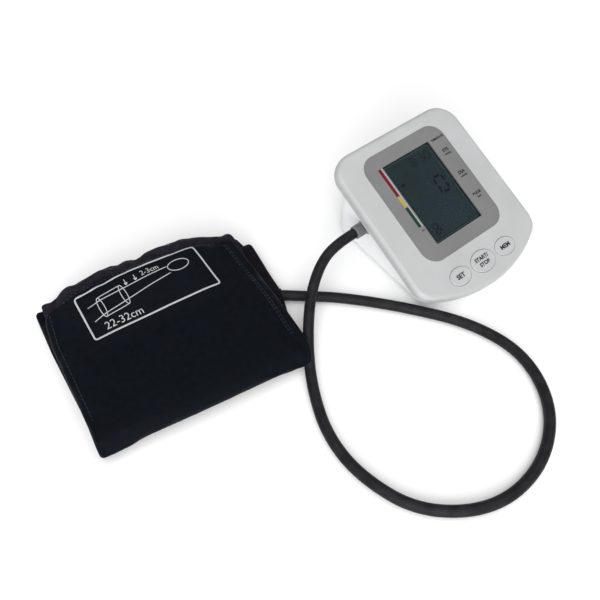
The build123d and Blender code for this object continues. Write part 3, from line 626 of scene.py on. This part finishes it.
def refine(obj):
    """Smooths the sheet's facets and keeps the result as plain mesh."""
    subdivide = obj.modifiers.new("smooth", "SUBSURF")
    subdivide.levels = 1
    subdivide.render_levels = 1
    depsgraph = bpy.context.evaluated_depsgraph_get()
    mesh = bpy.data.meshes.new_from_object(obj.evaluated_get(depsgraph))
    obj.modifiers.clear()
    obj.data = mesh


def ripple(u, v, size, seed):
    """Soft noise between -1 and 1 that runs along the cuff's width."""
    return noise.noise(Vector((u / (size * 2.2), v / size, seed)))


def top_sheet_shape(u, v, z, top):
    """The top leaf follows the far roll's height, dips along its hem and wrinkles by the far ridge."""
    far = smooth((v - 55) / 45)
    z += TOP_PROFILE_RISE * (ramp(ROLL_HEIGHT, u) - TOP_PROFILE_SHARE) * far
    if top:
        body = smooth((v - 4) / 14)
        hem = math.exp(-(((ramp(TOP_RIGHT, v) - u - 7) / 1.1) ** 2))
        z -= 0.9 * hem * body
        z += 0.8 * ripple(u, v, 17, 3.1) * body * (0.5 + 0.9 * far)
        z += 0.45 * ripple(u + v * 0.6, v, 6.5, 8.2) * body * far
    return u, v, z


def make_top_leaf():
    """The printed leaf with the near fold it turns about."""
    outer = [
        (14, 3.4), (9, 3.0), (2.2, 2.0), (-2.2, 3.8), (-4.9, 8.6), (-3.8, 12.9), (0.6, 15.8), (8, 17.3),
        (20, 18.2), (40, 19.0), (60, 19.8), (72, 22.4), (84, 27.2), (94, 31.0), (101, 32.6), (106, 32.6),
    ]
    inner = [
        (14, 4.7), (9, 4.6), (4.2, 5.0), (1.4, 6.6), (0.3, 8.8), (0.8, 10.4), (3.2, 11.3), (9, 11.4),
        (20, 11.4), (40, 11.5), (60, 11.9), (72, 16.2), (84, 22.4), (94, 27.4), (101, 29.8), (106, 30.6),
    ]
    leaf, free = sheet_mesh(
        "top_leaf", curve_through(outer, 64), curve_through(inner, 64), TOP_LEFT, TOP_RIGHT, NYLON,
        top_sheet_shape, (2.0, 7.0),
    )
    puff(leaf, free, slack=0.02, most=1.4 * MM)
    refine(leaf)
    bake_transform(leaf)
    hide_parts("leaf_cover", "leaf_pad", "leaf_lining", "cuff_near_fold")
    return leaf


def middle_shape(u, v, z, _):
    """The middle leaf bulges over the hose fitting at its right edge and is slightly wavy."""
    over_hose = math.exp(-(((v - 54) / 9) ** 2)) * smooth((u - 128) / 8)
    return u, v, z + 2.2 * over_hose + 0.4 * ripple(u, v, 12, 2.3) * smooth((u - 120) / 20)


def make_middle_leaf():
    """The thin leaf between the top one and the base."""
    outer = [(7, 8.6), (12, 8.9), (40, 9.0), (70, 9.0), (107, 8.9)]
    inner = [(7, 6.2), (12, 6.0), (40, 5.9), (70, 5.9), (107, 6.0)]
    leaf, _ = sheet_mesh(
        "middle_leaf", curve_through(outer, 44), curve_through(inner, 44), MIDDLE_LEFT, MIDDLE_RIGHT, LINING,
        middle_shape,
    )
    refine(leaf)
    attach(leaf, "cuff")
    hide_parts("cuff_middle_leaf")


def base_shape(u, v, z, top):
    """The base leaf lies flat, and its far left end lifts a little."""
    lift = (1 - smooth((u + 5) / 16)) * smooth((v - 95) / 20) * 3.0
    return u, v, z + (lift if top else lift * 0.8) + (0.35 * ripple(u, v, 14, 5.5) if top else 0)


def make_base_leaf():
    """The leaf that lies on the table."""
    outer = [(0.5, 2.0), (8, 2.6), (60, 2.9), (112, 2.9), (120.5, 2.8)]
    inner = [(0.5, 0.15), (8, 0.05), (60, 0.05), (112, 0.05), (120.5, 0.15)]
    leaf, _ = sheet_mesh(
        "base_leaf", curve_through(outer, 40), curve_through(inner, 40), BASE_LEFT, BASE_RIGHT, NYLON,
        base_shape,
    )
    refine(leaf)
    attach(leaf, "cuff")
    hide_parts("cuff_base_leaf")


def roll_shape(u, v, z, top):
    """The far roll steps down at its left end, sags at the right, and crumples all along."""
    z = 3.0 + (z - 3.0) * ramp(ROLL_HEIGHT, u)
    crumple = 1.1 * ripple(u, v + z, 8, 1.7) + 0.9 * ripple(u + 0.5 * v, z, 3.6, 6.4)
    v -= 3.0 * smooth((u - 105) / 30)
    return u, v + crumple * 0.8, z + (crumple if top and z > 6 else 0)


def make_far_roll():
    """The looser loop-side cloth that rolls over the cuff's far edge."""
    outer = [
        (89, 7.5), (90.5, 14), (95, 21), (101, 26), (107, 29.6), (112, 29.8), (116, 26.5), (118.4, 20),
        (118.6, 12), (116.5, 5.5), (111, 3.2),
    ]
    inner = [
        (93, 7), (94, 13), (98, 19), (103, 23), (107.5, 26.4), (110.8, 26.6), (113.2, 24), (115, 19),
        (115.2, 12), (113.4, 7), (109, 6),
    ]
    roll, free = sheet_mesh(
        "far_roll", curve_through(outer, 42), curve_through(inner, 42), ROLL_LEFT, ROLL_RIGHT, ROLLED,
        roll_shape, (1.0, 1.0),
    )
    puff(roll, free, slack=0.03, most=1.8 * MM)
    refine(roll)
    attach(roll, "cuff")
    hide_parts("cuff_far_roll")


def nap(u, v, z, top):
    """Raises a patch's upper side into a fine uneven nap."""
    return u, v, z + (0.25 * noise.noise(Vector((u * 1.3, v * 1.3, 0.5))) if top else 0)


def make_patch(name, node, body, material, low, high, near, far, left, right):
    """A hook-and-loop patch as its own thin sheet with a raised nap."""
    outer = [(near, high), ((near + far) / 2, high), (far, high)]
    inner = [(near, low), ((near + far) / 2, low), (far, low)]
    patch, _ = sheet_mesh(
        name, curve_through(outer, 24), curve_through(inner, 24), [(0, left)], [(0, right)], material,
        nap, (4.0, 4.0),
    )
    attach(patch, body)
    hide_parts(node)


# ---------------------------------------------------------------- print and stitches on the top leaf
class Surface:
    """Finds the height of the finished top leaf under a point of its plan."""

    def __init__(self, obj):
        self.tree = BVHTree.FromObject(obj, bpy.context.evaluated_depsgraph_get())

    def lay(self, u, v, above):
        """The point of the shared frame on the leaf at (u, v), raised a little along the surface's normal."""
        start = CUFF @ Vector((u, v, RAY_TOP))
        hit, normal, _, _ = self.tree.ray_cast(start, Vector((0, 0, -1)))
        if hit is None:
            return CUFF @ Vector((u, v, MISSED_HEIGHT))
        return hit + normal * above * MM


def keep_on_leaf(obj):
    """Thickens a flat print and lets it turn with the top leaf."""
    thicken(obj, INK_THICK * MM)
    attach(obj, "cuff_leaf")


def ribbon(name, strokes, width, above, surface, material):
    """Flat strokes of one width laid on the leaf: strokes are lists of (u, v) points."""
    verts, faces = [], []
    for stroke in strokes:
        base = len(verts)
        for i, (u, v) in enumerate(stroke):
            before, after = stroke[max(i - 1, 0)], stroke[min(i + 1, len(stroke) - 1)]
            along = Vector((after[0] - before[0], after[1] - before[1]))
            if along.length == 0:
                along = Vector((1, 0))
            across = Vector((-along.y, along.x)).normalized() * width / 2
            for side in (1, -1):
                verts.append(surface.lay(u + side * across.x, v + side * across.y, above))
        for i in range(len(stroke) - 1):
            a = base + 2 * i
            faces.append((a, a + 1, a + 3, a + 2))
    keep_on_leaf(make_object(name, verts, faces, Matrix.Identity(4), material))


def thicken(obj, depth):
    """Gives a flat print a real thickness, kept as plain mesh."""
    solid = obj.modifiers.new("thick", "SOLIDIFY")
    solid.thickness = depth
    solid.offset = 0
    depsgraph = bpy.context.evaluated_depsgraph_get()
    mesh = bpy.data.meshes.new_from_object(obj.evaluated_get(depsgraph))
    obj.modifiers.clear()
    obj.data = mesh


def dense(points, step):
    """Points along straight lines, always less than two steps apart."""
    out = [points[0]]
    for (a_x, a_y), (b_x, b_y) in zip(points, points[1:]):
        count = max(1, int(math.dist((a_x, a_y), (b_x, b_y)) / step))
        for i in range(1, count + 1):
            out.append((a_x + (b_x - a_x) * i / count, a_y + (b_y - a_y) * i / count))
    return out


def label_point(a, b):
    """Place on the leaf of a label point: a runs along the label 0-88, b across it 0-33."""
    near = Vector(LABEL_NEAR_LEFT).lerp(Vector(LABEL_NEAR_RIGHT), a / LABEL_LENGTH)
    far = Vector(LABEL_FAR_LEFT).lerp(Vector(LABEL_FAR_RIGHT), a / LABEL_LENGTH)
    return tuple(near.lerp(far, b / LABEL_WIDTH))


def label_stroke(points):
    """A stroke of the drawing, laid out on the leaf: smooth where it has three points or more."""
    smooth_points = curve_through(points, max(8, 5 * len(points))) if len(points) > 2 else points
    return dense([label_point(a, b) for a, b in smooth_points], LABEL_STEP)


def rounded_frame(width, height, radius):
    """Outline of a rounded rectangle from the origin."""
    points = []
    for corner_x, corner_y, start in (
        (width - radius, radius, -90), (width - radius, height - radius, 0),
        (radius, height - radius, 90), (radius, radius, 180),
    ):
        for step in range(7):
            angle = math.radians(start + 15 * step)
            points.append((corner_x + radius * math.cos(angle), corner_y + radius * math.sin(angle)))
    return [*points, points[0]]


def drawn_arm_point(along, aside):
    """Place on the drawn arm: along 0-1 from shoulder to wrist, aside -1 to 1 across it."""
    half = DRAWN_SHOULDER_HALF + (DRAWN_WRIST_HALF - DRAWN_SHOULDER_HALF) * along
    a = DRAWN_ARM_START[0] + (DRAWN_ARM_END[0] - DRAWN_ARM_START[0]) * along
    b = DRAWN_ARM_START[1] + (DRAWN_ARM_END[1] - DRAWN_ARM_START[1]) * along
    return (a, b + aside * half)


def drawn_oval(centre, half_length, half_height):
    """Closed oval of the label drawing."""
    angles = [math.radians(30 * step) for step in range(13)]
    return [(centre[0] + half_length * math.cos(t), centre[1] + half_height * math.sin(t)) for t in angles]


def arm_drawing():
    """Generic pictogram: a tapered arm, a cuff round it, an oval hand and two arrows."""
    arm_sides = [[drawn_arm_point(along, aside) for along in (0, 0.25, 0.5, 0.75, 1)] for aside in (-1, 1)]
    cuff_ends = []
    cuff_height = DRAWN_CUFF_OVERHANG * DRAWN_SHOULDER_HALF
    for along in DRAWN_CUFF_ENDS:
        cuff_ends.append(drawn_oval(drawn_arm_point(along, 0), DRAWN_CUFF_OVAL, cuff_height))
    cuff_sides = []
    for aside in (-cuff_height, cuff_height):
        ends = [drawn_arm_point(along, 0) for along in DRAWN_CUFF_ENDS]
        cuff_sides.append([(a, b + aside) for a, b in ends])
    wrist = drawn_arm_point(1, 0)
    hand_centre = (wrist[0] + DRAWN_HAND_LENGTH, wrist[1] + DRAWN_HAND_RISE)
    hand = drawn_oval(hand_centre, DRAWN_HAND_LENGTH, 1.5 * DRAWN_WRIST_HALF)
    arrows = []
    head_half, head_rise = DRAWN_ARROW_HEAD
    for shift in DRAWN_ARROW_SHIFTS:
        a, b = drawn_arm_point(DRAWN_CUFF_ENDS[1] + shift, 1.3)
        arrows.append([(a, b + DRAWN_ARROW_LENGTH), (a, b)])
        arrows.append([(a - head_half, b + head_rise), (a, b), (a + head_half, b + head_rise)])
    return [*arm_sides, *cuff_ends, *cuff_sides, hand, *arrows]


def make_label(surface):
    """White print: a frame, a generic arm and cuff pictogram, and two size notes."""
    outline = rounded_frame(LABEL_LENGTH, LABEL_WIDTH, LABEL_CORNER)
    border = dense([label_point(a, b) for a, b in outline], LABEL_STEP)
    ribbon("label_frame", [border], LABEL_FRAME_WIDTH, INK_LIFT, surface, WHITE_INK)
    drawing = [label_stroke(points) for points in arm_drawing()]
    ribbon("label_drawing", drawing, DRAWING_WIDTH, INK_LIFT, surface, WHITE_INK)
    write_on_leaf("label_gap_note", "2-3cm", 46.0, 26.0, 5.2, surface, 0)
    write_on_leaf("label_size_note", "22-32cm", 9.2, 2.8, 7.4, surface, -0.5)


def flat_text(body, size, extrude=0.0, bold=0.0):
    """Mesh of a line of text, in its own plane, left edge at the origin; bold widens its strokes."""
    data = bpy.data.curves.new("text", "FONT")
    data.body = body
    data.size = size
    data.extrude = extrude
    data.offset = bold * size
    data.resolution_u = 3
    obj = bpy.data.objects.new("text", data)
    bpy.context.scene.collection.objects.link(obj)
    depsgraph = bpy.context.evaluated_depsgraph_get()
    mesh = bpy.data.meshes.new_from_object(obj.evaluated_get(depsgraph))
    bpy.data.objects.remove(obj)
    verts = [tuple(v.co) for v in mesh.vertices]
    faces = [tuple(p.vertices) for p in mesh.polygons]
    bpy.data.meshes.remove(mesh)
    return verts, faces


def write_on_leaf(name, body, a, b, size, surface, turn_degrees):
    """A text printed on the label, left end at (a, b)."""
    verts, faces = flat_text(body, size)
    cosine = math.cos(math.radians(turn_degrees))
    sine = math.sin(math.radians(turn_degrees))
    laid = []
    for x, y, _ in verts:
        spot = label_point(a + x * cosine - y * sine, b + x * sine + y * cosine)
        laid.append(surface.lay(*spot, RAISED_LIFT))
    keep_on_leaf(make_object(name, laid, faces, Matrix.Identity(4), WHITE_INK))


def stitch_row(route, pitch=3.0, length=2.2):
    """Short strokes along a route, as stitches."""
    points = dense(route, 0.25)
    strokes, travelled, current = [], 0.0, []
    for a, b in zip(points, points[1:]):
        travelled += math.dist(a, b)
        if travelled % pitch < length:
            current.append(b)
        elif len(current) > 1:
            strokes.append(current[::2] if len(current) > 3 else current)
            current = []
        else:
            current = []
    return strokes


def make_seams(surface):
    """Two rows of stitches along the right hem, one along the left edge and one along the far edge."""
    rows = []
    for edge, inset in ((TOP_RIGHT, -6.2), (TOP_RIGHT, -7.8), (TOP_LEFT, 4.5)):
        rows += stitch_row([(ramp(edge, v) + inset, v) for v in range(16, 104, 3)])
    rows += stitch_row([(u, 103.5) for u in range(14, 126, 3)])
    ribbon("seam_stitches", rows, STITCH_WIDTH, RAISED_LIFT, surface, THREAD)


# ---------------------------------------------------------------- monitor print
def bar(x_low, x_high, v_low, v_high):
    """Outline of an upright rectangle."""
    return [(x_low, v_low), (x_high, v_low), (x_high, v_high), (x_low, v_high)]


def flat_piece(name, verts, faces, material, body):
    """A flat-shaded printed piece on the monitor's face."""
    obj = make_object(name, verts, faces, FACE, material)
    obj.data.polygons.foreach_set("use_smooth", [False] * len(obj.data.polygons))
    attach(obj, body)


def face_print(name, plan, height, material):
    """A thin printed shape on the housing: plan is a closed outline of (x, v) points."""
    count = len(plan)
    verts = [(x, v, height) for x, v in plan] + [(x, v, height + PRINT_THICK) for x, v in plan]
    faces = [tuple(range(count, 2 * count)), tuple(reversed(range(count)))]
    faces += [(i, (i + 1) % count, count + (i + 1) % count, count + i) for i in range(count)]
    flat_piece(name, verts, faces, material, "housing")


def face_text(name, body_text, x, v, size, height, body):
    """Centred dark text printed on the face or on a button."""
    verts, faces = flat_text(body_text, size, TEXT_DEPTH, TEXT_BOLD)
    middle = (min(p[0] for p in verts) + max(p[0] for p in verts)) / 2
    lift = (min(p[1] for p in verts) + max(p[1] for p in verts)) / 2
    placed = [(px - middle + x, py - lift + v, height + pz) for px, py, pz in verts]
    flat_piece(name, placed, faces, DARK_INK, body)


def make_bezel_print():
    """Colour scale at the screen's left and short legends at its right."""
    top = BEZEL_TOP + PRINT_GAP
    scale = [
        ("scale_red", 87.8, SCALE_TOP, RED_INK), ("scale_yellow", 78.3, 87.2, YELLOW_INK),
        ("scale_green", 61.0, 77.7, GREEN_INK),
    ]
    for name, low, high, material in scale:
        face_print(name, bar(SCALE_LEFT, SCALE_RIGHT, low, high), top, material)
    face_print("scale_line", bar(-24.0, -23.4, 60.5, SCALE_TOP), top, SCALE_LINE)
    face_print("scale_tick", bar(-26.2, -23.7, 57.6, 58.2), top, DARK_INK)
    legends = [
        ("legend_time", "TIME/DATE", 110.2, 2.4), ("legend_sys", "SYS", 99.6, 3.6),
        ("legend_sys_unit", "mmHg", 96.2, UNIT_SIZE), ("legend_dia", "DIA", 79.4, 3.6),
        ("legend_dia_unit", "mmHg", 76.0, UNIT_SIZE), ("legend_pulse", "PULSE", 60.4, 2.9),
        ("legend_pulse_unit", "/min", 57.2, UNIT_SIZE),
    ]
    for name, text, v, size in legends:
        face_text(name, text, LEGEND_COLUMN, v, size, top, "housing")


SEGMENT_PLACES = {
    "a": (0, 2, True), "b": (1, 1.5, False), "c": (1, 0.5, False), "d": (0, 0, True),
    "e": (0, 0.5, False), "f": (0, 1.5, False), "g": (0, 1, True),
}
DIGIT_SEGMENTS = {"0": "abcdef", "3": "abgcd", "8": "abcdefg"}


def lcd_print(name, plan, material=SEGMENTS):
    """A shape on the dark display."""
    face_print(name, plan, -LCD_DEPTH + PRINT_GAP, material)


def lcd_digit(name, digit, x, v, width, tall):
    """One seven-segment digit, its lower left corner at (x, v)."""
    thick = tall * SEGMENT_STROKE
    for number, key in enumerate(DIGIT_SEGMENTS[digit]):
        column, row, flat = SEGMENT_PLACES[key]
        centre_v = v + row * tall / 2
        if flat:
            shape = bar(x + thick * 0.7, x + width - thick * 0.7, centre_v - thick / 2, centre_v + thick / 2)
        else:
            centre_x = x + column * width
            reach = tall / 4 - thick * 0.6
            shape = bar(centre_x - thick / 2, centre_x + thick / 2, centre_v - reach, centre_v + reach)
        lcd_print(f"{name}_{number}", shape)


def make_lcd_content():
    """Idle display: the clock at the top right, a zero in the middle, small marks at the left."""
    for number, (digit, x) in enumerate((("8", 1.0), ("3", 9.0), ("0", 14.5))):
        lcd_digit(f"clock_{number}", digit, x, CLOCK_ROW, 3.6, 6.4)
    for number, v in enumerate((102.8, 105.4)):
        lcd_print(f"clock_dot_{number}", bar(6.4, 7.2, v, v + CLOCK_DOT))
    lcd_digit("reading", "0", 8.4, 73.5, 7.6, 13.0)
    lcd_digit("memory", "8", -15.5, 50.0, 4.2, 7.6)
    lcd_print("trend_mark", [(-17.5, 92), (-15.2, 95.5), (-12.9, 92)])
    half, edge = SCREEN_HALF - OUTLINE_INSET, OUTLINE_WIDTH
    low, high = SCREEN_LOW + OUTLINE_INSET, SCREEN_HIGH - OUTLINE_INSET
    sides = {
        "left": bar(-half, -half + edge, low, high), "right": bar(half - edge, half, low, high),
        "low": bar(-half, half, low, low + edge), "high": bar(-half, half, high - edge, high),
    }
    for name, plan in sides.items():
        lcd_print(f"lcd_outline_{name}", plan, LCD_EDGE)


def make_button_print():
    """Legends on the three buttons."""
    top = BUTTON_TOP + PRINT_GAP
    prints = [
        ("print_set", "SET", -BUTTON_SPACING, BUTTON_ROW, 4.6, "button_set_cap"),
        ("print_mem", "MEM", BUTTON_SPACING, BUTTON_ROW, 4.4, "button_memory_cap"),
        ("print_start", "START/", 0, 19.2, 3.9, "button_start_stop_cap"),
        ("print_stop", "STOP", 0, 14.8, 3.9, "button_start_stop_cap"),
    ]
    for name, text, x, v, size, cap in prints:
        face_text(name, text, x, v, size, top, cap)


# ---------------------------------------------------------------- build
make_camera()
make_studio()
make_hose()
dress_cad()
make_base_leaf()
make_middle_leaf()
make_far_roll()
top_leaf = make_top_leaf()
make_patch(
    "hook_sheet", "hook_patch", "cuff_leaf", HOOKS,
    low=10.3, high=11.1, near=23, far=57, left=26, right=122,
)
make_patch(
    "loop_sheet", "loop_patch", "cuff", PILE,
    low=8.9, high=9.8, near=18, far=62, left=22, right=126,
)
leaf_surface = Surface(top_leaf)
make_label(leaf_surface)
make_seams(leaf_surface)
make_bezel_print()
make_lcd_content()
make_button_print()
